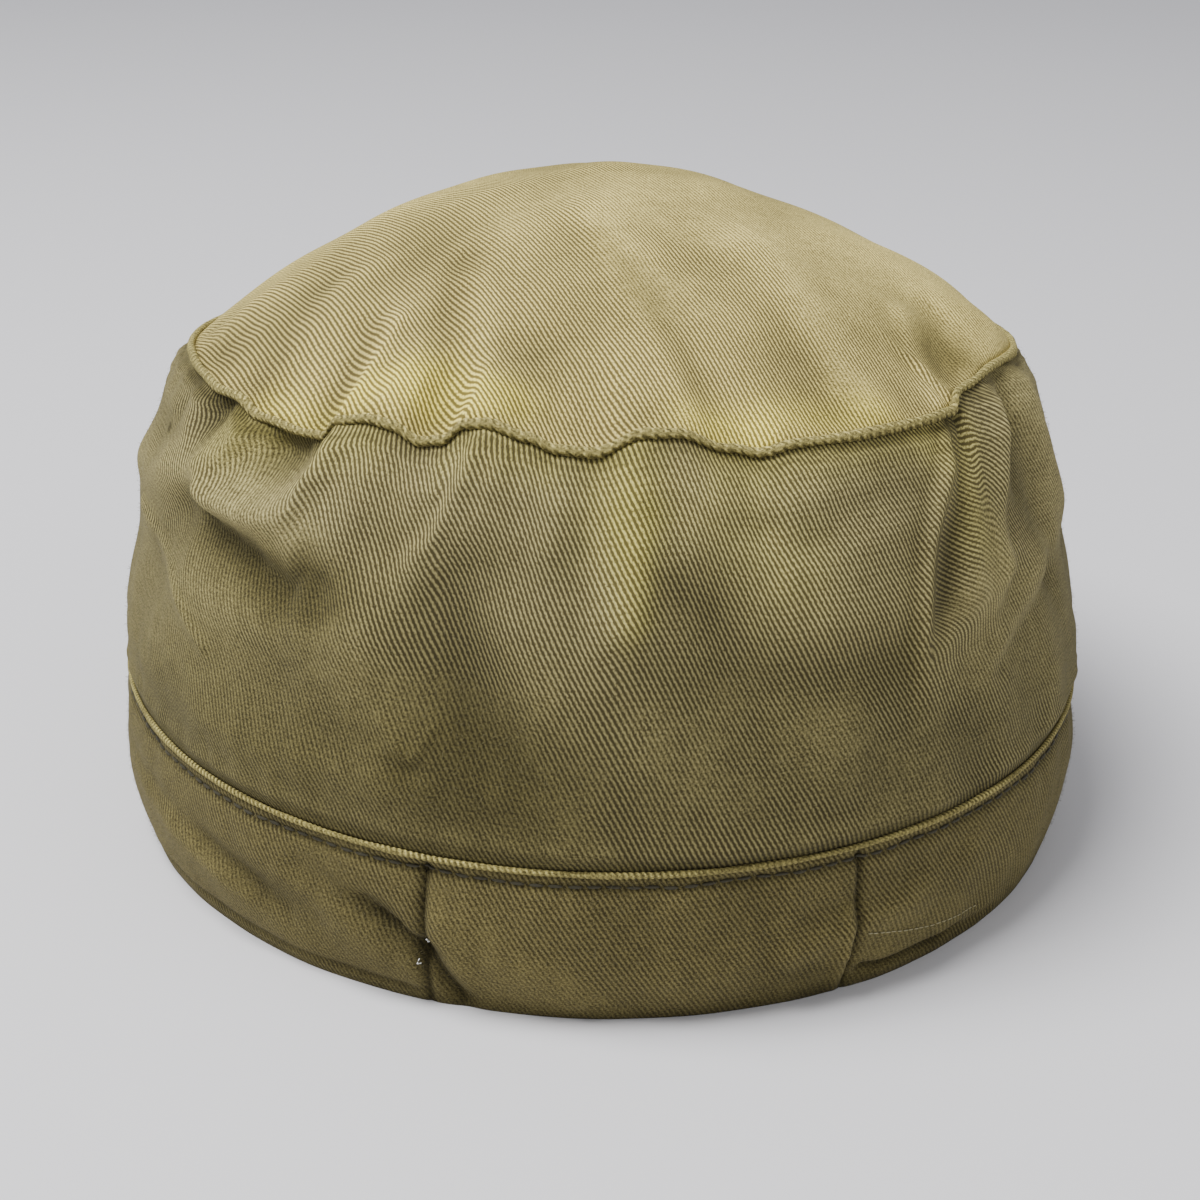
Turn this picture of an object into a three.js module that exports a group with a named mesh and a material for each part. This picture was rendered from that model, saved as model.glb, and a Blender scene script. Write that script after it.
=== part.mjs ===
import * as THREE from 'three';

// A soft cloth kepi cap in millimetres, resting on its rim at z = 0.
// The rear faces +Y and the peak faces -Y. Angles are in degrees from the rear centre, positive toward -X.

// Cloth and joins
const clothThickness = 2;
const bandThickness = 2.6;
const seamGap = 0.3;

// Rim, the band's lower edge
const rimHalfWidth = 87.8;
const rimRearReach = 91;
const rimFrontReach = 102.5;

// Band, which flares up to the seam that joins it to the side wall
const bandHeight = 30;
const bandSideFlare = 1.4;
const bandRearFlare = 5.7;
const bandFrontFlare = 5.8;
const bandBelly = 2.4;
const rearPanelAngle = 22.6;
const frontArch = 9;

// Side wall, which leans in up to the top seam
const topSideInset = 14.8;
const topRearInset = 11.4;
const topFrontInset = 15;
const topRearHeight = 95.7;
const topFrontHeight = 73.5;
const seamDropShape = 1.5;
const wallBulge = 4;

// Top panel
const crownHeight = 118.2;
const domeRoundness = 1.9;

// Rolled seams
const topWeltRadius = 1.3;
const bandWeltRadius = 0.9;
const weltFlatness = 0.7;
const weltSides = 6;

// Peak
const peakLength = 46;
const peakThickness = 2.4;
const peakHalfAngle = 54;
const peakCornerLength = 2;
const peakFloorClearance = 0.8;
const peakCrown = 2.5;
const peakFanShare = 0.55;
const peakTipRoundness = 0.7;
const peakEdgeThickness = 1.2;
const peakEdgeDrop = 0.4;

// Folds: the tables below give shares of these sizes
const foldRise = 3;
const foldReach = 10;
const seamWave = 2;
const seamInset = 3;

// Shares of a panel over which its folds fade out
const wallFoldStart = 0.1;
const topFoldStart = 0.1;
const topFoldFull = 0.45;
const foldEnd = 0.93;

// Mesh fineness
const roundSegments = 88;
const rearDensity = 0.24;
const peakSegments = 20;
const rearPanelSteps = 14;
const frontPanelSteps = 60;

// The side wall's swell outward, by share of its height
const wallSection = [
  { height: 0, swell: 0 },
  { height: 0.06, swell: 0.35 },
  { height: 0.2, swell: 0.7 },
  { height: 0.4, swell: 0.78 },
  { height: 0.6, swell: 1 },
  { height: 0.8, swell: 0.95 },
  { height: 0.93, swell: 0.62 },
  { height: 1, swell: 0 },
];

// How far the top seam rides up and is drawn in round the cap, in shares of the two sizes above
const seamLine = [
  { angle: -100, rise: 0, inset: 0 },
  { angle: -76, rise: 0.2, inset: 0 },
  { angle: -64, rise: 0, inset: 0 },
  { angle: -53, rise: -0.3, inset: 0.2 },
  { angle: -46, rise: -0.9, inset: 0.5 },
  { angle: -38, rise: -1, inset: 0.3 },
  { angle: -34, rise: -0.6, inset: 0 },
  { angle: -31, rise: 0.6, inset: 0 },
  { angle: -26, rise: 0.6, inset: 0 },
  { angle: -21.5, rise: 0, inset: 0.2 },
  { angle: -17.5, rise: 0.9, inset: 0 },
  { angle: -13.5, rise: 1, inset: 0 },
  { angle: -5, rise: 0, inset: 0.1 },
  { angle: 0, rise: 1, inset: 0 },
  { angle: 4, rise: 0.6, inset: 0 },
  { angle: 10, rise: -0.6, inset: 0.1 },
  { angle: 16, rise: 0, inset: 0 },
  { angle: 38, rise: -0.4, inset: 0 },
  { angle: 42, rise: 0, inset: 0.2 },
  { angle: 48, rise: 0.5, inset: 0.9 },
  { angle: 58, rise: 0.6, inset: 1 },
  { angle: 75, rise: 0.2, inset: 0.5 },
  { angle: 105, rise: 0, inset: 0 },
];

// Side wall folds: a path of [angle, share of height], its reach to either side and its rise outward
const wallFolds = [
  { path: [[-34.5, 0.98], [-37, 0.88], [-42, 0.82], [-48, 0.8]], reach: 0.45, rise: 0.7 },
  { path: [[-45.5, 0.89], [-43, 0.91]], reach: 0.5, rise: -0.9 },
  { path: [[-60.5, 0.93], [-58, 0.92]], reach: 0.5, rise: -0.8 },
  { path: [[-52.7, 0.97], [-55.2, 0.84]], reach: 0.4, rise: 0.5 },
  { path: [[-82, 0.72], [-56, 0.79], [-42, 0.76]], reach: 0.9, rise: 0.75 },
  { path: [[-66, 0.68], [-51, 0.68], [-43, 0.635], [-34, 0.6]], reach: 0.65, rise: -0.85 },
  { path: [[-60, 0.5], [-53, 0.4]], reach: 0.5, rise: 0.3 },
  { path: [[-54, 0.51], [-32, 0.56]], reach: 1.3, rise: 0.5 },
  { path: [[-18.3, 1], [-18.7, 0.86], [-22, 0.74]], reach: 0.6, rise: 0.55 },
  { path: [[-2.4, 1], [-1.4, 0.7]], reach: 0.6, rise: 0.45 },
  { path: [[-24.7, 0.73], [-19, 0.35]], reach: 1.2, rise: -0.4 },
  { path: [[-9, 0.66], [-6, 0.5]], reach: 1.3, rise: 0.3 },
  { path: [[9, 0.88], [20, 0.68]], reach: 1.2, rise: 0.3 },
  { path: [[40.6, 0.99], [37.8, 0.88], [34.5, 0.68], [33, 0.46]], reach: 0.45, rise: 0.9 },
  { path: [[45.5, 0.97], [43.5, 0.78], [39.5, 0.54]], reach: 0.6, rise: -1.2 },
  { path: [[54, 0.98], [49, 0.7]], reach: 0.6, rise: 0.6 },
  { path: [[47, 0.4], [60, 0.52]], reach: 0.8, rise: 0.4 },
];

// Top panel folds: a path of [angle, share of the way from the middle to the seam]
const topFolds = [
  { path: [[-33.7, 1], [-35.7, 0.94], [-36.8, 0.82]], reach: 0.5, rise: 0.5 },
  { path: [[-16.7, 0.9], [-20.7, 0.78], [-30.7, 0.66], [-40, 0.46]], reach: 0.9, rise: -0.45 },
  { path: [[5.3, 0.92], [3.3, 0.8], [-3, 0.49], [-10, 0.36]], reach: 1, rise: 0.4 },
  { path: [[30.3, 0.9], [32.3, 0.68], [36.3, 0.54]], reach: 1, rise: 0.3 },
  { path: [[42.3, 0.98], [48.3, 0.88], [55.3, 0.8]], reach: 0.5, rise: 0.5 },
  { path: [[50, 0.96], [53, 0.92]], reach: 0.8, rise: -0.7 },
  { path: [[-32.7, 0.91], [-17, 0.88]], reach: 0.9, rise: 0.35 },
  { path: [[72, 0.86], [118, 0.84]], reach: 1.9, rise: 0.9 },
];

const wallRows = [0, 0.06, 0.16, 0.28, 0.4, 0.5, 0.59, 0.66, 0.73, 0.8, 0.87, 0.94, 1];
const topRows = [0.1, 0.25, 0.4, 0.54, 0.67, 0.79, 0.9, 1];
const bandRows = [0, 0.33, 0.67, 1];
const peakRows = [0, 0.25, 0.5, 0.75, 0.94, 1];

// Spacing of the points that a surface's slope is taken from, in degrees and in shares
const slopeAngle = 1;
const slopeShare = 0.02;

// The share up the side wall by which its thickness is square to the cloth
const squareShare = 0.16;

// Plan ovals with a longer front half, given by their half width and reaches
const rimOval = { side: rimHalfWidth, rear: rimRearReach, front: rimFrontReach };
const bandOval = {
  side: rimHalfWidth + bandSideFlare,
  rear: rimRearReach + bandRearFlare,
  front: rimFrontReach + bandFrontFlare,
};
const topOval = {
  side: bandOval.side - topSideInset,
  rear: bandOval.rear - topRearInset,
  front: bandOval.front - topFrontInset,
};

const up = new THREE.Vector3(0, 0, 1);
const radians = THREE.MathUtils.degToRad;
const { lerp, smoothstep } = THREE.MathUtils;

function ovalPoint(oval, angle) {
  const reach = Math.cos(radians(angle)) > 0 ? oval.rear : oval.front;
  return new THREE.Vector3(-oval.side * Math.sin(radians(angle)), reach * Math.cos(radians(angle)), 0);
}

function ovalNormal(oval, angle) {
  const point = ovalPoint(oval, angle);
  const reach = point.y > 0 ? oval.rear : oval.front;
  return new THREE.Vector3(point.x / oval.side ** 2, point.y / reach ** 2, 0).normalize();
}

// Smooth reading between the rows of a table, level beyond its ends
function readTable(rows, key, value, at) {
  if (at <= rows[0][key]) return rows[0][value];
  const next = rows.findIndex((row) => row[key] >= at);
  if (next < 0) return rows[rows.length - 1][value];
  const low = rows[next - 1];
  const high = rows[next];
  return lerp(low[value], high[value], smoothstep(at, low[key], high[key]));
}

// Height of all the folds at a spot; place() turns a table's pair into millimetres on the cloth
function foldHeight(folds, spot, place) {
  let height = 0;
  for (const fold of folds) {
    let nearest = Infinity;
    for (let i = 1; i < fold.path.length; i += 1) {
      const segment = new THREE.Line3(place(fold.path[i - 1]), place(fold.path[i]));
      const foot = segment.closestPointToPoint(spot, true, new THREE.Vector3());
      nearest = Math.min(nearest, foot.distanceTo(spot));
    }
    height += fold.rise * foldRise * Math.exp(-((nearest / (fold.reach * foldReach)) ** 2));
  }
  return height;
}

function frontShare(angle) {
  return (1 - Math.cos(radians(angle))) / 2;
}

function topSeamPlan(angle) {
  const inset = seamInset * readTable(seamLine, 'angle', 'inset', angle);
  return ovalPoint(topOval, angle).addScaledVector(ovalNormal(topOval, angle), -inset);
}

function topSeamHeight(angle) {
  const level = lerp(topRearHeight, topFrontHeight, frontShare(angle) ** seamDropShape);
  return level + seamWave * readTable(seamLine, 'angle', 'rise', angle);
}

// The rim rises at the front, where the stiff peak lifts it
function rimHeight(angle) {
  const fromFront = Math.abs(180 - Math.abs(angle));
  return frontArch * (1 - smoothstep(fromFront, 0, peakHalfAngle));
}

function bandPoint(angle, share) {
  const foot = rimHeight(angle);
  const height = lerp(foot, bandHeight, share);
  const climb = height / bandHeight;
  const point = ovalPoint(rimOval, angle).lerp(ovalPoint(bandOval, angle), climb);
  point.addScaledVector(ovalNormal(bandOval, angle), bandBelly * Math.sin(Math.PI * climb));
  return point.setZ(height);
}

function wallPlace([angle, share]) {
  return new THREE.Vector3(radians(angle) * bandOval.side, share * (topRearHeight - bandHeight), 0);
}

function wallPoint(angle, share) {
  const point = ovalPoint(bandOval, angle).lerp(topSeamPlan(angle), share);
  const swell = wallBulge * readTable(wallSection, 'height', 'swell', share);
  const fade = smoothstep(share, 0, wallFoldStart) * (1 - smoothstep(share, foldEnd, 1));
  const folds = fade * foldHeight(wallFolds, wallPlace([angle, share]), wallPlace);
  point.addScaledVector(ovalNormal(bandOval, angle), swell + folds);
  return point.setZ(lerp(bandHeight, topSeamHeight(angle), share));
}

function topPlace([angle, share]) {
  return topSeamPlan(angle).multiplyScalar(share);
}

function topPoint(angle, share) {
  const point = topPlace([angle, share]);
  const fade = smoothstep(share, topFoldStart, topFoldFull) * (1 - smoothstep(share, foldEnd, 1));
  const folds = fade * foldHeight(topFolds, topPlace([angle, share]), topPlace);
  const dome = lerp(crownHeight, topSeamHeight(angle), share ** domeRoundness);
  return point.setZ(dome + folds);
}

// Outward normal of a cloth surface, from neighbouring points
function surfaceNormal(surface, angle, share, outward) {
  const above = Math.min(share + slopeShare, 1);
  const below = Math.max(share - slopeShare, 0);
  const along = surface(angle + slopeAngle, share).sub(surface(angle - slopeAngle, share));
  const across = surface(angle, above).sub(surface(angle, below));
  const normal = along.cross(across).normalize();
  return normal.dot(outward) < 0 ? normal.negate() : normal;
}

function wallNormal(angle, share) {
  return surfaceNormal(wallPoint, angle, share, ovalNormal(bandOval, angle));
}

function topNormal(angle, share) {
  return surfaceNormal(topPoint, angle, share, up);
}

// At the top seam, side and top are mitred along the line that halves their corner
function seamMitre(angle) {
  const side = wallNormal(angle, 1 - slopeShare);
  const top = topNormal(angle, 1 - slopeShare);
  const line = side.clone().add(top).normalize();
  const halfAngle = side.angleTo(top) / 2;
  const tangent = topSeamPlan(angle + slopeAngle).sub(topSeamPlan(angle - slopeAngle)).normalize();
  const rise = line.clone().cross(tangent).normalize();
  if (rise.z < 0) rise.negate();
  return { line, rise, depth: clothThickness / Math.cos(halfAngle) };
}

// Angles round the cap, closer together at the rear
function angleAt(step) {
  const turn = (step / roundSegments) * 2 * Math.PI;
  return THREE.MathUtils.radToDeg(turn - rearDensity * Math.sin(turn));
}

function signedAngle(step) {
  const angle = angleAt(step);
  return angle > 180 ? angle - 360 : angle;
}

const roundAngles = Array.from({ length: roundSegments }, (_, step) => signedAngle(step));

// Bodies: each section is a ring of points, and neighbouring sections are joined
function bodyFromSections(sections, closedRound) {
  const count = sections[0].length;
  const points = sections.flat();
  const faces = [];
  const joins = closedRound ? sections.length : sections.length - 1;
  for (let s = 0; s < joins; s += 1) {
    const here = s * count;
    const there = ((s + 1) % sections.length) * count;
    for (let i = 0; i < count; i += 1) {
      const next = (i + 1) % count;
      faces.push([here + i, there + i, there + next], [here + i, there + next, here + next]);
    }
  }
  if (!closedRound) {
    const last = (sections.length - 1) * count;
    for (let i = 0; i < count / 2 - 1; i += 1) {
      const far = count - 1 - i;
      faces.push([i, i + 1, far - 1], [i, far - 1, far]);
      faces.push([last + i, last + far - 1, last + i + 1], [last + i, last + far, last + far - 1]);
    }
  }
  return geometryFrom(points, faces);
}

// A domed shell: rings of points from the outer middle over the edge to the inner middle
function bodyFromRings(outerPole, rings, innerPole) {
  const count = rings[0].length;
  const points = [outerPole, ...rings.flat(), innerPole];
  const end = points.length - 1;
  const lastRing = 1 + (rings.length - 1) * count;
  const faces = [];
  for (let i = 0; i < count; i += 1) {
    const next = (i + 1) % count;
    faces.push([0, 1 + next, 1 + i], [end, lastRing + i, lastRing + next]);
    for (let r = 0; r < rings.length - 1; r += 1) {
      const here = 1 + r * count;
      const there = here + count;
      faces.push([here + i, here + next, there + next], [here + i, there + next, there + i]);
    }
  }
  return geometryFrom(points, faces);
}

// Faces are turned as one so that the body's surface points outward
function geometryFrom(points, faces) {
  let volume = 0;
  for (const [a, b, c] of faces) {
    volume += points[a].dot(points[b].clone().cross(points[c])) / 6;
  }
  const turned = volume < 0 ? faces.map(([a, b, c]) => [a, c, b]) : faces;
  const geometry = new THREE.BufferGeometry().setFromPoints(points);
  geometry.setIndex(turned.flat());
  geometry.computeVertexNormals();
  return geometry;
}

// Joins the outer points of a section, bottom to top, to its inner points, top to bottom
function sectionFrom(outer, inner) {
  return [...outer, ...inner.reverse()];
}

function bandSection(angle) {
  const inward = ovalNormal(bandOval, angle).multiplyScalar(-bandThickness);
  const outer = bandRows.map((share) => bandPoint(angle, share));
  outer[outer.length - 1].z -= seamGap / 2;
  return sectionFrom(outer, outer.map((point) => point.clone().add(inward)));
}

function wallSectionAt(angle) {
  const outer = [];
  const inner = [];
  const mitre = seamMitre(angle);
  for (const share of wallRows) {
    const point = wallPoint(angle, share);
    const level = ovalNormal(bandOval, angle);
    const inward = wallNormal(angle, share).lerp(level, 1 - smoothstep(share, 0, squareShare)).normalize();
    if (share === 0) point.z += seamGap / 2;
    if (share === 1) {
      point.addScaledVector(mitre.rise, -seamGap / 2);
      outer.push(point);
      inner.push(point.clone().addScaledVector(mitre.line, -mitre.depth));
    } else {
      outer.push(point);
      inner.push(point.clone().addScaledVector(inward, -clothThickness));
    }
  }
  return sectionFrom(outer, inner);
}

function crownTopBody() {
  const outer = [];
  const inner = [];
  for (const share of topRows) {
    const outerRing = [];
    const innerRing = [];
    for (const angle of roundAngles) {
      const point = topPoint(angle, share);
      const mitre = seamMitre(angle);
      const edge = share === 1;
      if (edge) point.addScaledVector(mitre.rise, seamGap / 2);
      const inward = edge ? mitre.line : topNormal(angle, share);
      const depth = edge ? mitre.depth : clothThickness;
      outerRing.push(point);
      innerRing.push(point.clone().addScaledVector(inward, -depth));
    }
    outer.push(outerRing);
    inner.push(innerRing);
  }
  const pole = topPoint(0, 0);
  const innerPole = pole.clone().addScaledVector(up, -clothThickness);
  return bodyFromRings(pole, [...outer, ...inner.reverse()], innerPole);
}

function sideWallBody() {
  return bodyFromSections(roundAngles.map(wallSectionAt), true);
}

// A stretch of the band between two angles, a seam gap short of each
function bandBody(fromAngle, toAngle, steps) {
  const trim = THREE.MathUtils.radToDeg(seamGap / 2 / bandOval.rear);
  const sections = [];
  for (let step = 0; step <= steps; step += 1) {
    sections.push(bandSection(lerp(fromAngle + trim, toAngle - trim, step / steps)));
  }
  return bodyFromSections(sections, false);
}

// A rolled seam lies against the outside of its join
function weltBody(radius, joinAt) {
  const sections = roundAngles.map((angle) => {
    const { point, outward, rise } = joinAt(angle);
    const centre = point.clone().addScaledVector(outward, radius * weltFlatness + seamGap);
    return Array.from({ length: weltSides }, (_, corner) => {
      const turn = (corner / weltSides) * 2 * Math.PI;
      const out = outward.clone().multiplyScalar(radius * weltFlatness * Math.cos(turn));
      return centre.clone().add(out).addScaledVector(rise, radius * Math.sin(turn));
    });
  });
  return bodyFromSections(sections, true);
}

function topJoin(angle) {
  const mitre = seamMitre(angle);
  return { point: wallPoint(angle, 1), outward: mitre.line, rise: mitre.rise };
}

function bandJoin(angle) {
  return { point: bandPoint(angle, 1), outward: ovalNormal(bandOval, angle), rise: up };
}

// The peak springs from the band just above the raised front of the rim
function peakBody() {
  const sections = [];
  for (let step = 0; step <= peakSegments; step += 1) {
    const side = lerp(-1, 1, step / peakSegments);
    const fromFront = side * peakHalfAngle;
    const angle = 180 - fromFront;
    const rootTop = rimHeight(angle) + peakFloorClearance + peakThickness;
    const rootShare = (rootTop - rimHeight(angle)) / (bandHeight - rimHeight(angle));
    const root = bandPoint(angle, rootShare);
    root.addScaledVector(ovalNormal(bandOval, angle), seamGap);
    const lean = radians(fromFront * peakFanShare);
    const forward = new THREE.Vector3(-Math.sin(lean), -Math.cos(lean), 0);
    const growth = Math.max(Math.cos((side * Math.PI) / 2), 0) ** peakTipRoundness;
    const length = lerp(peakCornerLength, peakLength, growth);
    const tipTop = peakFloorClearance + peakThickness;
    const upper = peakRows.map((share) => {
      const arc = peakCrown * (length / peakLength) * Math.sin(Math.PI * share);
      return root.clone().addScaledVector(forward, share * length).setZ(lerp(rootTop, tipTop, share) + arc);
    });
    const lower = upper.map((point) => point.clone().setZ(point.z - peakThickness));
    upper[upper.length - 1].z -= peakEdgeDrop;
    lower[lower.length - 1].z = upper[upper.length - 1].z - peakEdgeThickness;
    sections.push(sectionFrom(upper, lower));
  }
  return bodyFromSections(sections, false);
}

// Materials and the finished cap
const cloth = { color: 0x8d8352, roughness: 0.92, metalness: 0 };
const foldedCloth = { color: 0x968b59, roughness: 0.9, metalness: 0 };

const cap = new THREE.Group();
cap.name = 'kepi_cap';

function addNode(name, geometry, look) {
  const mesh = new THREE.Mesh(geometry, new THREE.MeshStandardMaterial(look));
  mesh.name = name;
  cap.add(mesh);
}

addNode('crown_top', crownTopBody(), cloth);
addNode('side_wall', sideWallBody(), cloth);
addNode('band_rear', bandBody(-rearPanelAngle, rearPanelAngle, rearPanelSteps), cloth);
addNode('band_front', bandBody(rearPanelAngle, 360 - rearPanelAngle, frontPanelSteps), cloth);
addNode('top_welt', weltBody(topWeltRadius, topJoin), foldedCloth);
addNode('band_welt', weltBody(bandWeltRadius, bandJoin), foldedCloth);
addNode('peak', peakBody(), cloth);

// The frame's origin is the middle of the cap's extent, on the surface that it rests on
const extent = new THREE.Box3().setFromObject(cap);
const middle = extent.getCenter(new THREE.Vector3());
cap.position.set(-middle.x, -middle.y, -extent.min.z);

export default cap;
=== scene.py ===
import math
import bpy
import numpy as np
from mathutils import Matrix, Vector


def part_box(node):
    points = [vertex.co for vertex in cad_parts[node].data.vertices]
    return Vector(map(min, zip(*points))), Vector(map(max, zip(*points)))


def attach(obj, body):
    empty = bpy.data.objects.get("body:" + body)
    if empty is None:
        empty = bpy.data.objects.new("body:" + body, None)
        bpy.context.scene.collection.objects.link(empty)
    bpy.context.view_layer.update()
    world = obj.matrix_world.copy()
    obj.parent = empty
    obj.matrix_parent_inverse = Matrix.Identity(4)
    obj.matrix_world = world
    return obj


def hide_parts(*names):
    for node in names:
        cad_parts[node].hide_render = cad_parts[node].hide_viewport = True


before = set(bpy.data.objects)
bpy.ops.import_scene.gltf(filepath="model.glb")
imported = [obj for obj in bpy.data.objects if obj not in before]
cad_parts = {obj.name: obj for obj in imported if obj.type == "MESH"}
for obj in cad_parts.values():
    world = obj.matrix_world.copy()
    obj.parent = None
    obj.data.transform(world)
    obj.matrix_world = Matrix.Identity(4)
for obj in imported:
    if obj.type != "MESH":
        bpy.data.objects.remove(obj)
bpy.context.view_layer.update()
random = np.random.default_rng(11)
mm = 0.001
tiny = 1e-12

# the cap's own sizes in millimetres, rear toward +Y; angles are degrees from the rear centre toward -X
cap = dict(
    rimSide=87.8, rimRear=91, rimFront=102.5,
    bandSide=89.2, bandRear=96.7, bandFront=108.3,
    topSide=74.4, topRear=85.3, topFront=93.3,
    bandHeight=30, rearHeight=95.7, frontHeight=73.5, crownHeight=118.2,
    seamInset=3, seamDropShape=1.5, frontArch=9, peakHalfAngle=54, rearPanelAngle=22.6,
)
wallHeight = cap["rearHeight"] - cap["bandHeight"]
weltLow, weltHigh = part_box("band_welt")
# where the middle of the ovals lies along the frame's Y
capShift = (weltLow[1] + weltHigh[1]) / 2 / mm + (cap["bandFront"] - cap["bandRear"]) / 2

# swell of the side wall, as (share of its height, share of the swell)
wallSection = [
    (0, 0), (0.06, 0.35), (0.2, 0.7), (0.4, 0.78), (0.6, 1), (0.76, 0.98), (0.88, 0.84), (0.95, 0.58), (1, 0),
]
# rise of the top seam over its smooth line, as (angle, millimetres)
seamRise = [
    (-80, 0), (-70, -1.3), (-63.5, -2.3), (-58.5, -2.2), (-53.5, -4.4), (-45.5, -4.8), (-41.5, -4.4),
    (-38, -0.8), (-33.5, 0.4), (-30.5, 0), (-27, -2), (-24.5, -1.4), (-21, 1.9), (-18.5, 2.2), (-14, 0.6),
    (-10.5, -1.1), (-6.5, -1.4), (-0.5, 1.8), (3, 1.7), (9, -1.1), (13, -2.2), (17, -1.3), (28, -1.5),
    (40.5, -1.7), (43.5, -2), (45.5, 0), (50, 0.3), (58, 1), (75, 0.4), (105, 0),
]
# how far the top seam is drawn in, as (angle, share of seamInset)
seamDraw = [
    (-64, 0), (-56, 0.2), (-50, 0.4), (-43, 0.3), (-38, 0), (-30, 0), (-26, 0.15), (-21, 0), (-5, 0.1),
    (0, 0), (10, 0.1), (16, 0), (38, 0), (42, 0.2), (48, 0.9), (58, 1), (75, 0.5), (105, 0),
]


def ramp(at, low, high):
    t = np.clip((at - low) / (high - low), 0, 1)
    return t * t * (3 - 2 * t)


# a smooth curve through rows of (place, value)
def readTable(rows, at):
    keys = np.array([row[0] for row in rows], float)
    values = np.array([row[1] for row in rows], float)
    i = np.clip(np.searchsorted(keys, at) - 1, 0, len(keys) - 2)
    return values[i] + (values[i + 1] - values[i]) * ramp(at, keys[i], keys[i + 1])


# the rim, the band's upper edge or the top seam in plan
def oval(kind, angle):
    turn = np.radians(angle)
    reach = np.where(np.cos(turn) > 0, cap[kind + "Rear"], cap[kind + "Front"])
    return np.stack([-cap[kind + "Side"] * np.sin(turn), reach * np.cos(turn), 0 * turn], -1)


def ovalNormal(kind, angle):
    point = oval(kind, angle)
    reach = np.where(point[..., 1] > 0, cap[kind + "Rear"], cap[kind + "Front"])
    way = np.stack([point[..., 0] / cap[kind + "Side"] ** 2, point[..., 1] / reach ** 2, 0 * reach], -1)
    return way / np.linalg.norm(way, axis=-1, keepdims=True)


# near the ends of its path a fold's two reaches blend into each other over this much cloth
foldBlend = dict(dotLength=0.01, nearShare=0.5, start=1.2, width=12)


# height over the cloth of a list of folds; each has a path, its reach to the left and right of it, and a rise
def foldHeight(folds, across, up, place):
    total = np.zeros_like(across)
    for path, left, right, rise in folds:
        points = [place(*spot) for spot in path]
        if len(points) == 1:
            points.append((points[0][0] + foldBlend["dotLength"], points[0][1]))
        nearest = np.full_like(across, np.inf)
        side = np.zeros_like(across)
        for (ax, ay), (bx, by) in zip(points[:-1], points[1:]):
            dx, dy = bx - ax, by - ay
            t = np.clip(((across - ax) * dx + (up - ay) * dy) / (dx * dx + dy * dy), 0, 1)
            ox, oy = across - ax - t * dx, up - ay - t * dy
            gap = np.hypot(ox, oy)
            closer = gap < nearest
            nearest = np.where(closer, gap, nearest)
            side = np.where(closer, dx * oy - dy * ox, side)
        softSide = side / (nearest * foldBlend["nearShare"] + foldBlend["start"]) / foldBlend["width"]
        reach = left + (right - left) * ramp(-softSide, -0.5, 0.5)
        total += rise * np.exp(-(nearest / reach) ** 2)
    return total


softWaves = dict(perLength=5, phaseSpan=6.28)


# a soft uneven surface: waves of random direction through the cloth
def softRelief(point, seed, lengths, height):
    waves = np.random.default_rng(seed)
    total = np.zeros(point.shape[:-1])
    for length in lengths:
        for _ in range(softWaves["perLength"]):
            way = waves.normal(size=3)
            way *= 2 * math.pi / length / np.linalg.norm(way)
            phase = waves.uniform(0, softWaves["phaseSpan"])
            total += np.sin(point @ way + phase) * height / softWaves["perLength"]
    return total


def topSeamPlan(angle):
    draw = cap["seamInset"] * readTable(seamDraw, angle)
    return oval("top", angle) - ovalNormal("top", angle) * draw[..., None]


def topSeamLevel(angle):
    front = (1 - np.cos(np.radians(angle))) / 2
    return cap["rearHeight"] + (cap["frontHeight"] - cap["rearHeight"]) * front ** cap["seamDropShape"]


def topSeamHeight(angle):
    return topSeamLevel(angle) + readTable(seamRise, angle)


def rimHeight(angle):
    fromFront = 180 - np.abs(angle)
    return cap["frontArch"] * (1 - ramp(fromFront, 0, cap["peakHalfAngle"]))


# from (angle, share) to millimetres over each cloth laid flat
def wallPlace(angle, share):
    return math.radians(angle) * cap["bandSide"], share * wallHeight


def topPlace(angle, share):
    point = topSeamPlan(np.array([angle], float))[0] * share
    return -point[0], point[1]


def bandPlace(angle, share):
    return math.radians(angle) * cap["bandSide"], share * cap["bandHeight"]


# the edge of the pleat at the right, whose cloth laps over the cloth behind it
pleatEdge = [(41, 1.02), (40.4, 0.97), (39.2, 0.92), (36.4, 0.84), (33.4, 0.74), (31.5, 0.62), (30.4, 0.48)]

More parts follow.
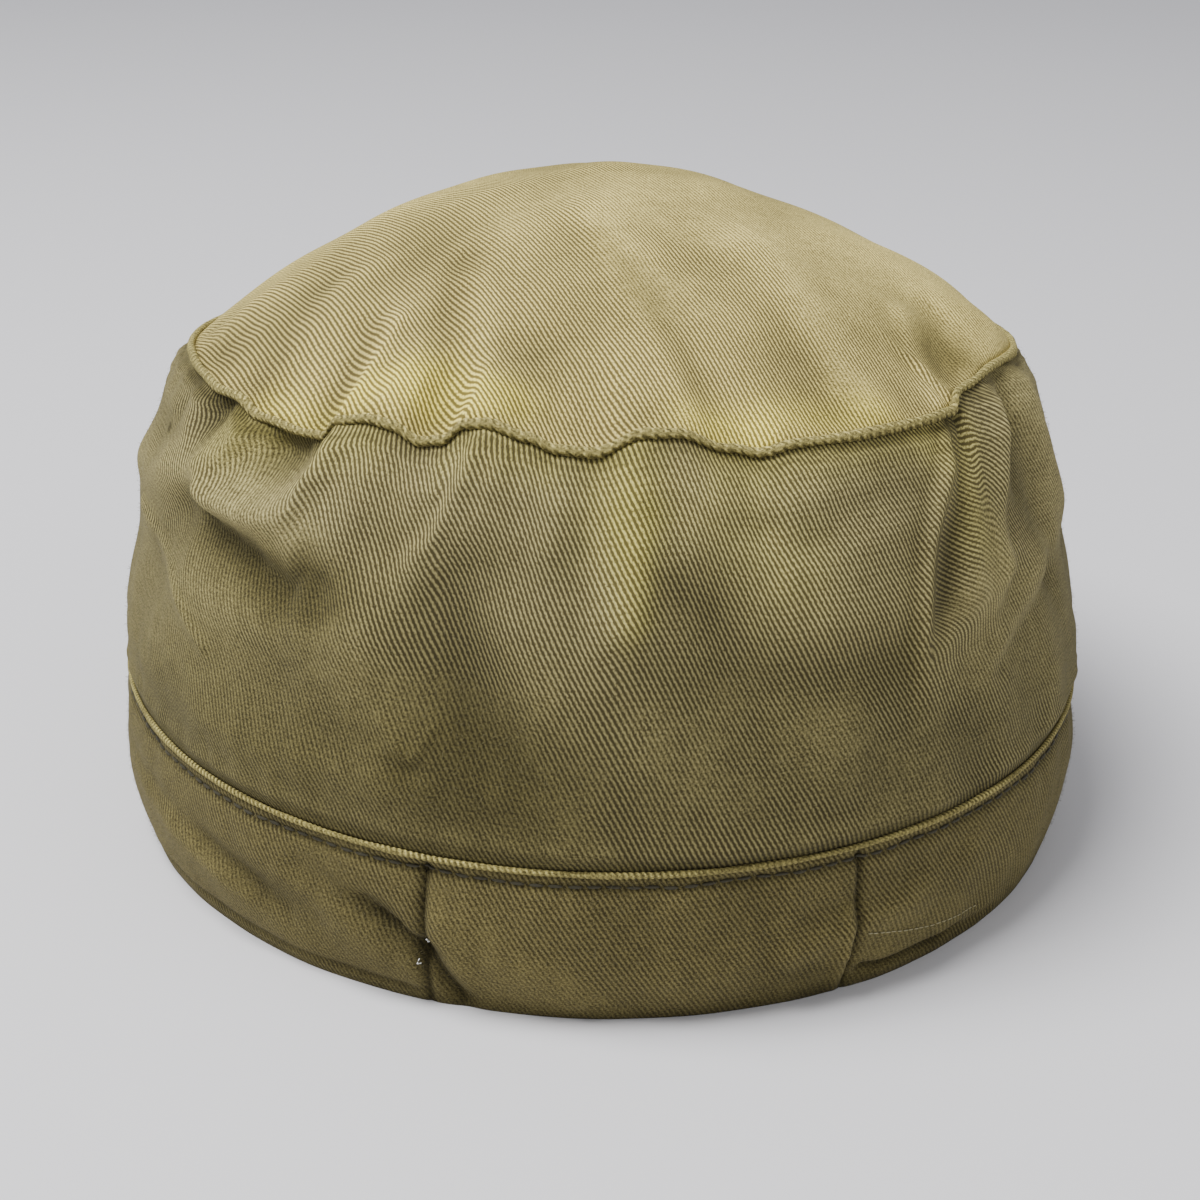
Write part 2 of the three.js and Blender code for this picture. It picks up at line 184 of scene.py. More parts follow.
# side wall folds, as (path of (angle, share of height), reach left, reach right, rise)
wallFolds = [
    # the lip of the left pouch
    ([(-37.6, 1), (-37, 0.95), (-38, 0.91), (-40, 0.87), (-43.5, 0.83), (-48.5, 0.805), (-56, 0.79)],
     3.6, 3.2, 3),
    ([(-45, 0.95), (-48.5, 0.935)], 4, 4, -3.2),
    ([(-61, 0.97), (-62, 0.93)], 3.6, 3.6, -2.8),
    ([(-54, 1), (-54.3, 0.95), (-55.5, 0.9), (-59, 0.84)], 3, 3, 2),
    ([(-82, 0.69), (-68, 0.745), (-57, 0.77), (-48, 0.78), (-42, 0.785)], 6, 6.5, 2.3),
    ([(-62, 0.69), (-58.5, 0.7), (-53, 0.69), (-46.8, 0.662), (-41, 0.615), (-37, 0.6)], 5, 6.5, -2.5),
    ([(-57, 0.7), (-52, 0.686), (-46.8, 0.662), (-41, 0.615)], 2.2, 2.4, -0.7),
    ([(-77, 0.58), (-62, 0.515), (-53.4, 0.383)], 1.2, 2.4, 0.8),
    ([(-24.4, 0.23)], 2.2, 2.2, -0.8),
    ([(-27.4, 0.34), (-24.9, 0.25)], 1, 1.4, 0.5),
    ([(-22, 0.33), (-24, 0.25)], 1, 1, 0.4),
    ([(-56, 0.5), (-44, 0.54), (-33, 0.53)], 10, 9, 1.9),
    ([(-31.5, 1), (-32, 0.93), (-33, 0.84), (-34, 0.74)], 4, 5, 1),
    ([(-19, 1), (-19.3, 0.93), (-20, 0.88), (-21.2, 0.825), (-23, 0.78), (-25, 0.74)], 6, 2.2, 2.3),
    ([(-17.6, 0.96), (-18.6, 0.88), (-20, 0.82), (-22.5, 0.76)], 2, 3.4, -0.5),
    ([(-9.5, 1), (-9.8, 0.9), (-11, 0.8)], 3.2, 3.2, 0.7),
    ([(-5.5, 1), (-6, 0.9), (-6.5, 0.8)], 2.6, 3, -0.4),
    ([(-2, 1), (-2.4, 0.94), (-1.7, 0.85), (-1.2, 0.78), (-1.6, 0.7), (-2.5, 0.62)], 3.8, 4.4, 2.1),
    ([(2.5, 0.97), (3.5, 0.85), (4, 0.74)], 3, 4, -0.2),
    ([(-24.7, 0.73), (-21, 0.55), (-18.5, 0.42), (-17, 0.3)], 8, 8, -1.6),
    ([(-14, 0.6), (-12, 0.45)], 6, 6, 1),
    ([(-10, 0.66), (-7, 0.5)], 8, 8, 1),
    ([(10, 1), (10.5, 0.92), (12, 0.84)], 2.6, 3.2, -1.1),
    ([(9, 0.88), (14, 0.8), (20, 0.68)], 8, 9, 1.3),
    ([(17, 0.8), (25, 0.87), (33, 0.9)], 4, 3.4, -0.8),
    ([(15, 0.72), (24, 0.76), (32, 0.8)], 3, 4, 0.5),
    ([(6, 0.6), (14, 0.5), (24, 0.47)], 7, 7, -1),
    ([(20, 0.56), (28, 0.6)], 6, 6, 0.9),
    (pleatEdge, 9, 1.8, 2.8),
    ([(44, 1), (42.5, 0.92), (39.7, 0.82), (36.9, 0.72), (34.8, 0.58)], 3.8, 7.5, -3.4),
    ([(54, 1), (52, 0.9), (49.5, 0.8), (47, 0.7), (46, 0.6)], 3.2, 4, 2.2),
    ([(60, 0.96), (57.5, 0.82), (55, 0.72)], 3, 3.6, -1.3),
    ([(47, 0.42), (54, 0.5), (62, 0.53)], 5.5, 6, 1.5),
    ([(44, 0.34), (52, 0.4), (60, 0.44)], 2.6, 3, -0.8),
    ([(36, 0.6), (44, 0.55), (50, 0.6)], 2.6, 3.2, 0.8),
    ([(60, 0.8), (58, 0.62), (62, 0.45)], 4, 5, -1),
    ([(66, 0.95), (67, 0.8), (70, 0.6)], 5, 6, 1.1),
    ([(-72, 0.98), (-70, 0.86), (-74, 0.78)], 4, 5, -1.2),
    ([(-8, 0.12), (12, 0.1)], 5, 5, 0.6),
    ([(-52, 0.2), (-40, 0.14), (-28, 0.16)], 6, 6, 0.7),
    ([(-40, 0.36), (-34, 0.28)], 7, 7, -0.8),
    ([(26, 0.2), (30, 0.38)], 7, 7, -0.7),
]

# top panel folds, with the share of the way from the middle to the seam
topFolds = [
    # the sharp crease at the left
    ([(-39.5, 1), (-39.6, 0.96), (-40.3, 0.92), (-40.2, 0.85), (-41, 0.76)], 1.6, 4.5, 2.4),
    ([(-35.5, 0.99), (-36, 0.93), (-37, 0.86)], 3.2, 3.2, -1),
    ([(-43, 0.99), (-44, 0.9), (-47, 0.78)], 3.6, 3.6, -1.4),
    ([(-50, 0.99), (-52, 0.9), (-57, 0.8), (-63, 0.62)], 4.5, 5, 1.2),
    ([(-58, 0.98), (-63, 0.86), (-68, 0.72)], 4.5, 5, -1.1),
    ([(-15, 0.93), (-15.5, 0.85), (-17, 0.77)], 5, 5, -0.8),
    ([(-21.5, 0.96), (-22.5, 0.86), (-26, 0.74), (-33, 0.6)], 3, 5, 1.9),
    ([(-27, 0.96), (-28.5, 0.86), (-33, 0.74), (-42, 0.55)], 5, 3.5, -1.3),
    ([(-10, 0.98), (-13, 0.86), (-17, 0.66), (-26, 0.44)], 7, 6, 0.8),
    ([(6.3, 0.95), (5, 0.86), (3.3, 0.76), (-0.5, 0.6), (-5, 0.44), (-16, 0.28)], 9, 3.2, 2),
    ([(9.5, 0.97), (8.4, 0.84), (6.4, 0.7), (3, 0.52)], 3, 6, -1.5),
    ([(18, 0.97), (17, 0.8), (15, 0.62)], 7, 7, 0.8),
    ([(30.3, 0.94), (31.2, 0.82), (33, 0.66), (37, 0.5)], 8, 5, 1.5),
    ([(36, 0.96), (38, 0.82), (42, 0.68)], 4, 5, -1.2),
    ([(42.3, 1), (43, 0.96), (45.5, 0.92), (49, 0.87), (55.3, 0.8)], 4.6, 2, 2.3),
    ([(48.5, 0.985), (51, 0.945), (56, 0.9), (62, 0.86)], 3, 6, -2.7),
    ([(-32.7, 0.91), (-17, 0.9)], 7, 7, 0.9),
    ([(72, 0.86), (95, 0.86), (118, 0.84)], 17, 19, 2.9),
    ([(63, 0.99), (70, 0.93), (76, 0.9)], 4, 5, 1.1),
    ([(-90, 0.95), (-80, 0.8), (-76, 0.6)], 7, 8, 0.8),
]

# band folds, with the share of the band's height
bandFolds = [
    ([(-29.5, 0.62), (-26, 0.52), (-23.4, 0.42)], 2, 3, -1.3),
    ([(-21.8, 0.4), (-20.4, 0.24), (-18.2, 0.04)], 1.8, 2.6, -1.1),
    ([(-24.5, 0.5), (-24, 0.3), (-23.6, 0.1)], 1.6, 1.6, 0.5),
    ([(-20.8, 0.6), (-19.4, 0.3)], 2.5, 3, 0.6),
    ([(-52, 0.56), (-46, 0.5), (-40.7, 0.5), (-36, 0.44)], 3, 4, -0.8),
    ([(-60, 0.5), (-50, 0.4)], 4, 5, 0.4),
    ([(15, 0.4), (19.3, 0.46), (24, 0.52), (29.3, 0.57)], 2.6, 3.4, 0.9),
    ([(17, 0.62), (21.5, 0.66)], 2.5, 3, -0.5),
    ([(25.5, 0.72), (30, 0.76), (36, 0.74)], 3, 3, -0.5),
    ([(24.6, 0.13), (31.3, 0.11), (38.8, 0.11), (46, 0.06)], 1.4, 2.4, -0.9),
    ([(24.6, 0.02), (31, 0.06)], 2.5, 2.5, 0.5),
    ([(21, 0.3), (21.6, 0.05)], 2, 1.6, 0.7),
    ([(12, 0.2), (9, 0.05)], 5, 5, -0.4),
    ([(-12, 0.35), (2, 0.3), (12, 0.42)], 5, 5, 0.45),
    ([(-22.6, -0.1), (-22.6, 1.1)], 0.7, 0.7, -0.9),
    ([(22.6, -0.1), (22.6, 1.1)], 0.7, 0.7, -0.9),
    ([(21.2, 0.62), (21.4, 0.3)], 1.1, 0.8, 0.7),
    ([(-28, 0.57), (-25.5, 0.52), (-23.2, 0.42)], 0.9, 1.1, -0.9),
    ([(-22, 0.36), (-20.6, 0.2), (-19, 0.05)], 0.9, 1.3, -0.9),
    ([(-180, 0.92), (180, 0.92)], 0.8, 0.8, -0.45),
    ([(24.2, 0.16), (26.9, 0.12), (31.5, 0.12), (35.7, 0.1), (38.9, 0.13)], 0.8, 0.8, -0.8),
    ([(-180, 0.1), (-23.4, 0.1)], 0.8, 0.8, -0.5),
    ([(-90, 0.68), (-60, 0.6), (-46, 0.5), (-40, 0.4)], 2.4, 2.8, -0.9),
    ([(-72, 0.6), (-56, 0.52), (-46, 0.4)], 2.2, 3, 0.8),
    ([(-38, 0.72), (-31, 0.64), (-27, 0.62)], 2, 2.6, -0.6),
]

# small gathers that a seam draws into the cloth beside it
gatherLook = dict(reach=(1.2, 2.6), run=(0.5, 1.2), lean=1.5, step=(0.6, 1.5))


def seamGathers(fromAngle, toAngle, spacing, seamShare, length, rise):
    folds = []
    angle = fromAngle
    while angle < toAngle:
        reach = random.uniform(*gatherLook["reach"])
        run = seamShare + length * random.uniform(*gatherLook["run"])
        lean = random.uniform(-gatherLook["lean"], gatherLook["lean"])
        folds.append(([(angle, seamShare), (angle + lean, run)], reach, reach, rise * random.uniform(-1, 1)))
        angle += spacing * random.uniform(*gatherLook["step"])
    return folds


# from angle to angle, spacing in degrees, the seam's share, length as a share, rise
wallFolds += seamGathers(-115, 115, 4.5, 1, -0.13, 0.55)
wallFolds += seamGathers(-120, 120, 5.5, 0, 0.12, 0.3)
topFolds += seamGathers(-115, 115, 5, 1, -0.09, 0.4)
bandFolds += seamGathers(-21, 21, 2.6, 1, -0.75, 0.38)
bandFolds += seamGathers(-110, 110, 6, 1, -0.4, 0.25)

# each cloth's own form, where its folds fade toward a seam, and its relief as (seed, wave lengths, height)
wallForm = dict(
    swell=4, footFade=0.06, headFade=0.95, headLoss=0.75,
    relief=[(3, (60, 34, 19), 0.75), (4, (11, 7), 0.13)],
)
topForm = dict(
    roundness=1.9, foldShare=0.48, seamWaveStart=0.72, middleFade=0.4, edgeFade=0.97, edgeLoss=0.6,
    reliefFade=0.95, relief=[(5, (70, 38, 20), 0.7), (9, (10,), 0.12)],
)
bandForm = dict(belly=2.4, headFade=0.93, footFade=0.12, footShare=0.35, relief=[(6, (45, 24, 13), 0.4)])


def clothRelief(point, form):
    return sum(softRelief(point, *row) for row in form["relief"])


def wallPoint(angle, share):
    base = oval("band", angle) + (topSeamPlan(angle) - oval("band", angle)) * share[..., None]
    swell = wallForm["swell"] * readTable(wallSection, share)
    base += ovalNormal("band", angle) * swell[..., None]
    base[..., 2] = cap["bandHeight"] + share * (topSeamHeight(angle) - cap["bandHeight"])
    across = np.radians(angle) * cap["bandSide"]
    fade = 1 - wallForm["headLoss"] * ramp(share, wallForm["headFade"], 1)
    fade *= ramp(share, 0, wallForm["footFade"])
    creases = foldHeight(wallFolds, across, share * wallHeight, wallPlace)
    folds = fade * (creases + clothRelief(base, wallForm))
    return base + ovalNormal("band", angle) * folds[..., None], folds


def topPoint(angle, share):
    seam = topSeamPlan(angle)
    point = seam * share[..., None]
    fade = 1 - topForm["edgeLoss"] * ramp(share, topForm["edgeFade"], 1)
    fade *= ramp(share, 0, topForm["middleFade"])
    folds = topForm["foldShare"] * fade * foldHeight(topFolds, -point[..., 0], point[..., 1], topPlace)
    folds += (1 - ramp(share, topForm["reliefFade"], 1)) * clothRelief(point, topForm)
    drop = topSeamLevel(angle) - cap["crownHeight"]
    wave = readTable(seamRise, angle) * ramp(share, topForm["seamWaveStart"], 1)
    point[..., 2] = cap["crownHeight"] + drop * share ** topForm["roundness"] + wave
    reach = np.linalg.norm(seam[..., :2], axis=-1)
    slope = -drop * topForm["roundness"] * share ** (topForm["roundness"] - 1) / reach
    away = seam / reach[..., None]
    away[..., 2] = 0
    normal = away * slope[..., None] + (0, 0, 1)
    normal /= np.linalg.norm(normal, axis=-1, keepdims=True)
    return point + normal * folds[..., None], folds


def bandPoint(angle, share):
    foot = rimHeight(angle)
    height = foot + (cap["bandHeight"] - foot) * share
    climb = height / cap["bandHeight"]
    point = oval("rim", angle) + (oval("band", angle) - oval("rim", angle)) * climb[..., None]
    point[..., 2] = height
    across = np.radians(angle) * cap["bandSide"]
    folds = foldHeight(bandFolds, across, share * cap["bandHeight"], bandPlace) + clothRelief(point, bandForm)
    folds *= 1 - ramp(share, bandForm["headFade"], 1)
    folds *= bandForm["footShare"] + (1 - bandForm["footShare"]) * ramp(share, 0, bandForm["footFade"])
    out = bandForm["belly"] * np.sin(math.pi * climb) + folds
    return point + ovalNormal("band", angle) * out[..., None], folds


# outward normals of a grid of points, its rows running up the cloth; the crown's middle has none
def gridNormals(grid):
    normal = np.cross(np.gradient(grid, axis=1), np.gradient(grid, axis=0))
    return normal / (np.linalg.norm(normal, axis=-1, keepdims=True) + tiny)


# shader maths as expressions on a socket
class Wire:
    def __init__(self, tree, socket):
        self.tree = tree
        self.socket = socket

    # any node: settings first, then the values or links of its sockets, by name or as at0, at1 by place
    def node(self, kind, settings=None, output=0, **inputs):
        made = self.tree.nodes.new(kind)
        for name, value in (settings or {}).items():
            setattr(made, name, value)
        for name, value in inputs.items():
            key = int(name[2:]) if name.startswith("at") else name
            self.feed(made.inputs[key], value)
        return Wire(self.tree, made.outputs[output])

    def feed(self, target, value):
        if isinstance(value, Wire):
            self.tree.links.new(value.socket, target)
        else:
            target.default_value = value

    # plain numbers go through a Math node, colours and vectors through Vector Math
    def combine(self, operation, first, second):
        plain = all(not isinstance(v, Wire) or v.socket.type == "VALUE" for v in (first, second))
        kind = "ShaderNodeMath" if plain else "ShaderNodeVectorMath"
        values = [v if isinstance(v, Wire) or plain else (v, v, v) for v in (first, second)]
        return self.node(kind, {"operation": operation}, at0=values[0], at1=values[1])

    def __add__(self, other):
        return self.combine("ADD", self, other)

    def __radd__(self, other):
        return self.combine("ADD", other, self)

    def __sub__(self, other):
        return self.combine("SUBTRACT", self, other)

    def __rsub__(self, other):
        return self.combine("SUBTRACT", other, self)

    def __mul__(self, other):
        return self.combine("MULTIPLY", self, other)

    def __rmul__(self, other):
        return self.combine("MULTIPLY", other, self)

    def __truediv__(self, other):
        return self.combine("DIVIDE", self, other)

    def __rtruediv__(self, other):
        return self.combine("DIVIDE", other, self)

    def __pow__(self, other):
        return self.combine("POWER", self, other)

    def __rpow__(self, other):
        return self.combine("POWER", other, self)

    def floor(self):
        return self.node("ShaderNodeMath", {"operation": "FLOOR"}, at0=self)

    # a cosine wave from 0 to 1, once for each whole number
    def wave(self):
        turn = self * (2 * math.pi)
        return turn.node("ShaderNodeMath", {"operation": "COSINE"}, at0=turn) * 0.5 + 0.5

    def clamp(self, low, high):
        return self.node("ShaderNodeClamp", Value=self, Min=low, Max=high)

    def part(self, index):
        return self.node("ShaderNodeSeparateXYZ", output=index, Vector=self)

    def noise(self, scale, detail=2.0, roughness=0.5):
        place = self * scale
        return place.node("ShaderNodeTexNoise", Vector=place, Scale=1.0, Detail=detail, Roughness=roughness)

    def mix(self, first, second):
        return self.node("ShaderNodeMix", {"data_type": "RGBA"}, 2, at0=self, at6=first, at7=second)

    def tinted(self, tint):
        settings = {"data_type": "RGBA", "blend_type": "MULTIPLY"}
        return self.node("ShaderNodeMix", settings, 2, at0=1.0, at6=self, at7=tint)

    def smooth(self, low, high):
        settings = {"interpolation_type": "SMOOTHSTEP"}
        return self.node("ShaderNodeMapRange", settings, at0=self, at1=low, at2=high)

    def attribute(self, name, output=2):
        return self.node("ShaderNodeAttribute", {"attribute_name": name}, output)


def newMaterial(name, constants):
    material = bpy.data.materials.new(name)
    material.use_nodes = True
    shader = material.node_tree.nodes["Principled BSDF"]
    for key, value in constants.items():
        shader.inputs[key].default_value = value
    return material, shader


# cotton twill: raised diagonal ribs of a lighter yarn over a darker ground; scales are waves to a millimetre
twill = dict(
    floatLength=1.25, floatShift=0.37, ribSharpness=1.3, ribHeight=0.00016, bumpStrength=0.85,
    wanderScale=0.018, ribWander=2.2, shakeScale=0.6, ribShake=0.16,
    fibreScale=2.7, fibreHeight=0.7, looseGrain=2.8, napScale=0.35, napShare=0.5,
    speckScale=3.2, speckDepth=2.6, speckLimit=(0.2, 2),
    feltScale=0.035, feltRange=(0.46, 0.7), feltHiding=0.6, middleLight=0.4,
    foldPaintedShade=0.19, blotchScale=0.02, blotchShare=1.1, wearShadeMiddle=0.45, wearShadeLow=0.6, wearShadeGain=0.8,
    stainFloor=0.6, stainFibre=0.8,
    ground=(0.1, 0.08, 0.03, 1), rib=(0.6, 0.51, 0.2, 1), yellow=(1.34, 1.37, 0.92, 1),
    shade=(0.33, 0.325, 0.26, 1), paintedShadeLimit=0.95,
)
twillFinish = {
    "Roughness": 0.95, "Sheen Weight": 0.06, "Sheen Roughness": 0.5, "Sheen Tint": (0.75, 0.66, 0.35, 1),
    "Specular IOR Level": 0.2,
}
# each cloth: the way its ribs run in degrees, their width, how plain they are and how far they break up
rolledLook = dict(
    slant=55, ribPitch=0.8, ribStrength=0.4, ribContrast=1.6, ribMiddle=0.36, broken=0.5, tint=(1, 1, 1, 1),
)
clothLooks = dict(
    wall=dict(
        slant=63, ribPitch=0.8, ribStrength=1, ribContrast=1.7, ribMiddle=0.4, broken=0.4,
        lightness=0.69, tint=(0.985, 1, 1.08, 1),
    ),
    top=dict(
        slant=72, ribPitch=0.73, ribStrength=1, ribContrast=1.9, ribMiddle=0.37, broken=0.45,
        lightness=1.32, tint=(1.03, 1, 0.86, 1),
    ),
    band=dict(
        slant=60, ribPitch=0.8, ribStrength=0.7, ribContrast=1.3, ribMiddle=0.37, broken=0.45,
        lightness=0.385, tint=(0.98, 0.965, 0.9, 1),
    ),
    topRoll=dict(rolledLook, lightness=0.86),
    bandRoll=dict(rolledLook, lightness=0.7),
    peak=dict(
        slant=28, ribPitch=0.8, ribStrength=1, ribContrast=1.6, ribMiddle=0.36, broken=0.4,
        lightness=0.98, tint=(1, 1, 1, 1),
    ),
)


def twillCloth(name, look):
    material, shader = newMaterial(name, twillFinish)
    start = Wire(material.node_tree, shader.outputs[0])
    weave = start.attribute("weave", 1)
    relief, felt, stain, paintedShade = [start.attribute(key) for key in ("relief", "felt", "stain", "paintedShade")]

    # ribs across the slant, broken into floats along it
    u, v = weave.part(0), weave.part(1)
    slantSine, slantCosine = math.sin(math.radians(look["slant"])), math.cos(math.radians(look["slant"]))
    wander = weave.noise(twill["wanderScale"], detail=1.0) * twill["ribWander"]
    shake = weave.noise(twill["shakeScale"], detail=1.0) * twill["ribShake"]
    turn = (u * slantSine + v * slantCosine + wander + shake) / look["ribPitch"]
    along = (v * slantSine - u * slantCosine) / twill["floatLength"]
    grain = (along + turn.floor() * twill["floatShift"]).wave()
    floats = grain * look["broken"] + (1 - look["broken"])
    speck = weave.noise(twill["speckScale"], roughness=0.6)
    thinned = ((speck - 0.5) * twill["speckDepth"] + 1).clamp(*twill["speckLimit"])
    ribs = (turn.wave() ** twill["ribSharpness"]) * floats * thinned

    # nap and loose fibres over the ribs, in patches that hide them
    fibre = weave.noise(twill["fibreScale"], detail=3.0, roughness=0.7)
    nap = weave.noise(twill["napScale"], detail=3.0, roughness=0.7)
    patches = weave.noise(twill["feltScale"], detail=3.0, roughness=0.6)
    felted = (patches + felt).smooth(*twill["feltRange"])
    clear = (1 - felted * twill["feltHiding"]) * look["ribStrength"]
    loose = (fibre - 0.5) * (twill["looseGrain"] - clear) + (nap - 0.5) * twill["napShare"]
    ribLight = (ribs - look["ribMiddle"]) * clear * look["ribContrast"]
    light = (ribLight + twill["middleLight"] + loose).clamp(0, 1)

    # painted light and shade from the fold relief, lighter on raised folds and darker in their hollows,
    # partly rubbed wear, with random blotches of tone; then yellowed patches and painted shade
    blotch = weave.noise(twill["blotchScale"], detail=4.0, roughness=0.6)
    wearAndPaintedShade = relief * twill["foldPaintedShade"] + (blotch - 0.5) * twill["blotchShare"] + twill["wearShadeMiddle"]
    wearAndShadeScale = wearAndPaintedShade.clamp(0, 1) * twill["wearShadeGain"] + twill["wearShadeLow"]
    colour = light.mix(twill["ground"], twill["rib"]) * (wearAndShadeScale * look["lightness"])
    yellowing = (stain * (fibre * twill["stainFibre"] + twill["stainFloor"])).clamp(0, 1)
    colour = yellowing.mix(colour, colour.tinted(twill["yellow"]))
    # painted shade darkens creases, dimples, seam ditches and the cloth under the rolls
    colour = paintedShade.clamp(0, twill["paintedShadeLimit"]).mix(colour, colour.tinted(twill["shade"]))
    start.feed(shader.inputs["Base Color"], colour.tinted(look["tint"]))

    height = ribs * clear + fibre * twill["fibreHeight"]
    bump = height.node(
        "ShaderNodeBump", Strength=twill["bumpStrength"], Distance=twill["ribHeight"], Height=height,
    )
    start.feed(shader.inputs["Normal"], bump)
    return material


def plainMaterial(name, colour):
    return newMaterial(name, {"Base Color": colour, "Roughness": 0.8})[0]


# a mesh from points in the cap's own millimetres, fixed to the cap
def addPiece(name, points, faces, material, smooth=True):
    mesh = bpy.data.meshes.new(name)
    mesh.from_pydata(((np.asarray(points) + (0, capShift, 0)) * mm).tolist(), [], faces)
    mesh.polygons.foreach_set("use_smooth", np.full(len(faces), smooth))
    mesh.materials.append(material)
    piece = bpy.data.objects.new(name, mesh)
    bpy.context.scene.collection.objects.link(piece)
    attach(piece, "root")
    return piece


# a piece of cloth from a grid of rows and columns; rows may close on themselves
def clothPiece(name, grid, fields, material, closeRows):
    rows, columns = grid.shape[:2]
    index = np.arange(rows * columns).reshape(rows, columns)
    upper = np.roll(index, -1, axis=0) if closeRows else index[1:]
    lower = index if closeRows else index[:-1]
    quads = np.stack([lower[:, :-1], lower[:, 1:], upper[:, 1:], upper[:, :-1]], -1).reshape(-1, 4)
    piece = addPiece(name, grid.reshape(-1, 3), quads.tolist(), material)
    for key, values in fields.items():
        kind, slot = ("FLOAT_VECTOR", "vector") if values.ndim == 3 else ("FLOAT", "value")
        layer = piece.data.attributes.new(key, kind, "POINT")
        layer.data.foreach_set(slot, values.astype(np.float32).ravel())
    return piece


# adds a coarser inside to an outer cloth, row by row; every field follows the outer rows
def withInside(outer, normal, fields, thickness):
    pick = np.linspace(outer.shape[0] - 1, 0, panels["innerRows"]).round().astype(int)
    grid = np.concatenate([outer, outer[pick] - normal[pick] * thickness])
    return grid, {key: np.concatenate([values, values[pick]]) for key, values in fields.items()}


# angles all round the cap, closer together at the rear
def roundAngles(count):
    turn = np.linspace(-math.pi, math.pi, count + 1)
    return np.degrees(turn - panels["rearDensity"] * np.sin(turn))


# patches of yellowed cloth, of painted light and of painted shade, as (path, reach left, reach right,
# strength)
wallYellow = [
    ([(-2.6, 0.99), (-1.6, 0.85)], 6, 8, 0.8),
    ([(-1.6, 0.85), (-1.3, 0.62)], 2.6, 4, 0.7),
    ([(-38, 0.98), (-33, 0.97)], 5, 5, 0.5),
    ([(-58, 0.95), (-50, 0.97)], 6, 6, 0.45),
    ([(-22, 0.97), (-12, 0.98)], 4, 4, 0.45),
    ([(8, 0.98), (34, 0.98)], 4, 4, 0.45),
    ([(9, 0.85), (14, 0.75)], 9, 9, 0.35),
    ([(37.5, 0.96)], 6, 5, 0.55),
    ([(44, 0.9), (41, 0.72)], 5, 5, 0.5),
]
topYellow = [
    ([(-37, 0.93), (-33, 0.9), (-29, 0.9)], 6, 6, 0.95),
    ([(-20.5, 0.95), (-17, 0.94)], 4, 5, 0.9),
    ([(-29, 0.9), (-20, 0.93)], 4, 5, 0.5),
    ([(-54, 0.98), (-43, 0.985)], 4, 4, 0.7),
    ([(6, 0.97), (30, 0.975)], 3.5, 5, 0.8),
    ([(9, 0.975), (14, 0.98)], 2, 2, 0.9),
]
# painted light: lighter patches on the wall under the top seam and beside its folds, where the cloth catches
# light; they add to the relief that lightens the colour
wallPaintedLight = [
    ([(-50, 0.97), (-30, 0.95), (0, 0.95), (41, 0.95)], 11, 11, 2.6),
    ([(-20, 0.95), (-21.8, 0.87), (-26, 0.78)], 2.5, 2, 1.4),
    ([(-2, 0.95), (-1.4, 0.7)], 3, 4, 1.3),
    ([(-64, 0.8), (-50, 0.8), (-38, 0.84)], 4, 4, 0.8),
    ([(-27, 0.9), (-27, 0.8), (-28.5, 0.7)], 4.5, 4.5, 3.6),
    ([(36, 0.98), (39, 0.9), (36.6, 0.84)], 6, 3, 3.2),
    ([(-7, 0.9), (-5.5, 0.8), (-5, 0.7)], 3, 3, 2.2),
    ([(2, 0.96), (2.7, 0.85), (2.5, 0.78)], 3, 4, 3.2),
    ([(13, 0.78), (16, 0.64)], 6, 6, 1.4),
    ([(58, 0.95), (72, 0.92)], 6, 8, 2.6),
]
# painted shade in the top's fold hollows and in the hollow at the right
topPaintedShade = [
    ([(-27, 0.95), (-28, 0.85), (-33, 0.7), (-42, 0.55)], 5, 3, 0.3),
    ([(8.5, 0.97), (7, 0.85), (4.5, 0.72), (0, 0.55), (-8, 0.4)], 2.2, 4.5, 0.34),
    ([(30, 0.97), (27, 0.85), (24, 0.7)], 4, 4, 0.14),
    ([(55, 0.95), (50, 0.9)], 6, 6, 0.35),
    ([(57, 0.93), (66, 0.93), (80, 0.95)], 6, 8, 0.3),
    ([(-41.5, 0.98), (-42.5, 0.9), (-43.5, 0.8)], 3, 4, 0.42),
]
# painted shade in the wall's valleys, dimples and pleat recess, under the top roll and above the band's roll,
# and darker towards the bottom
wallPaintedShade = [
    ([(-58.5, 0.7), (-52, 0.686), (-46.8, 0.66), (-41, 0.612), (-37, 0.6)], 5, 7, 0.5),
    ([(-50, 0.66), (-43, 0.61), (-37, 0.59)], 5, 8, 0.2),
    ([(-45, 0.7), (-38, 0.665), (-33, 0.63)], 5, 5, 0.4),
    ([(-56, 0.44), (-42, 0.36), (-28, 0.28), (-14, 0.2)], 16, 16, 0.32),
    ([(-70, 0.14), (-40, 0.12)], 9, 9, 0.15),
    ([(-24.4, 0.235)], 2.4, 2.4, 0.5),
    ([(-60, 0.92), (-47, 0.94)], 5, 5, 0.25),
    ([(-18, 0.93), (-20, 0.83), (-23, 0.76)], 2.6, 3.4, 0.12),
    ([(1, 0.7), (6, 0.64)], 4, 4, 0.28),
    ([(-26, 0.68), (-22, 0.5), (-18, 0.33)], 12, 12, 0.3),
    ([(-46, 0.95)], 5, 5, 0.4),
    ([(-61.5, 0.96)], 4, 4, 0.4),
    ([(-75, 0.985), (-40, 0.985)], 1.6, 1.6, 0.4),
    ([(4, 0.5), (14, 0.42), (28, 0.5)], 10, 10, 0.22),
    ([(43, 0.97), (40.4, 0.86), (36.8, 0.73), (34.6, 0.6)], 2.5, 5, 0.62),
    ([(58, 0.9), (56, 0.6)], 4, 4, 0.25),
    ([(-73.5, 0.83)], 0.8, 0.8, 2),
    ([(-180, 0.012), (180, 0.012)], 1.6, 1.6, 0.75),
    ([(-180, 0.975), (180, 0.975)], 1, 1, 0.6),
    ([(-180, 0.08), (180, 0.08)], 26, 26, 0.58),
]
